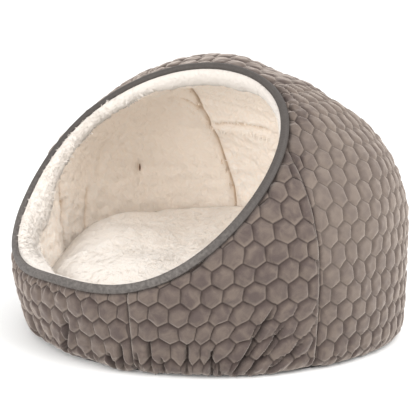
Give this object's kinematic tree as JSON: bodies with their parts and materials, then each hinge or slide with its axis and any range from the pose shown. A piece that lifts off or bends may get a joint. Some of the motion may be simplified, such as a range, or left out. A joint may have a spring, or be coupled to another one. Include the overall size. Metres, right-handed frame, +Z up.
{
  "type": "cat cave",
  "caption": "Round quilted pet cave with a slanted bound mouth, a thick plush lining and a loose plush cushion.",
  "frame": {"origin": "middle of the body's plan, on the floor under it", "axes": "+Z up; the mouth opens towards -Y; +X is on the right of someone who looks into the mouth"},
  "size_m": [0.4494, 0.4214, 0.2976],
  "materials": {
    "quilted_velvet": "taupe velvet quilted in honeycomb",
    "cream_plush": "cream long-pile plush",
    "grey_tape": "woven grey binding tape",
    "base_cloth": "plain dark grey non-slip cloth",
    "cushion_plush": "cream long-pile plush"
  },
  "bodies": {
    "root": {"outer_front_left": "quilted_velvet", "outer_front_right": "quilted_velvet", "outer_side_right": "quilted_velvet", "outer_side_left": "quilted_velvet", "outer_crown_back": "quilted_velvet", "lining_front": "cream_plush", "lining_side_right": "cream_plush", "lining_side_left": "cream_plush", "lining_crown_back": "cream_plush", "rim_binding": "grey_tape", "base_panel": "base_cloth", "cushion": "cushion_plush"}
  },
  "joints": []
}
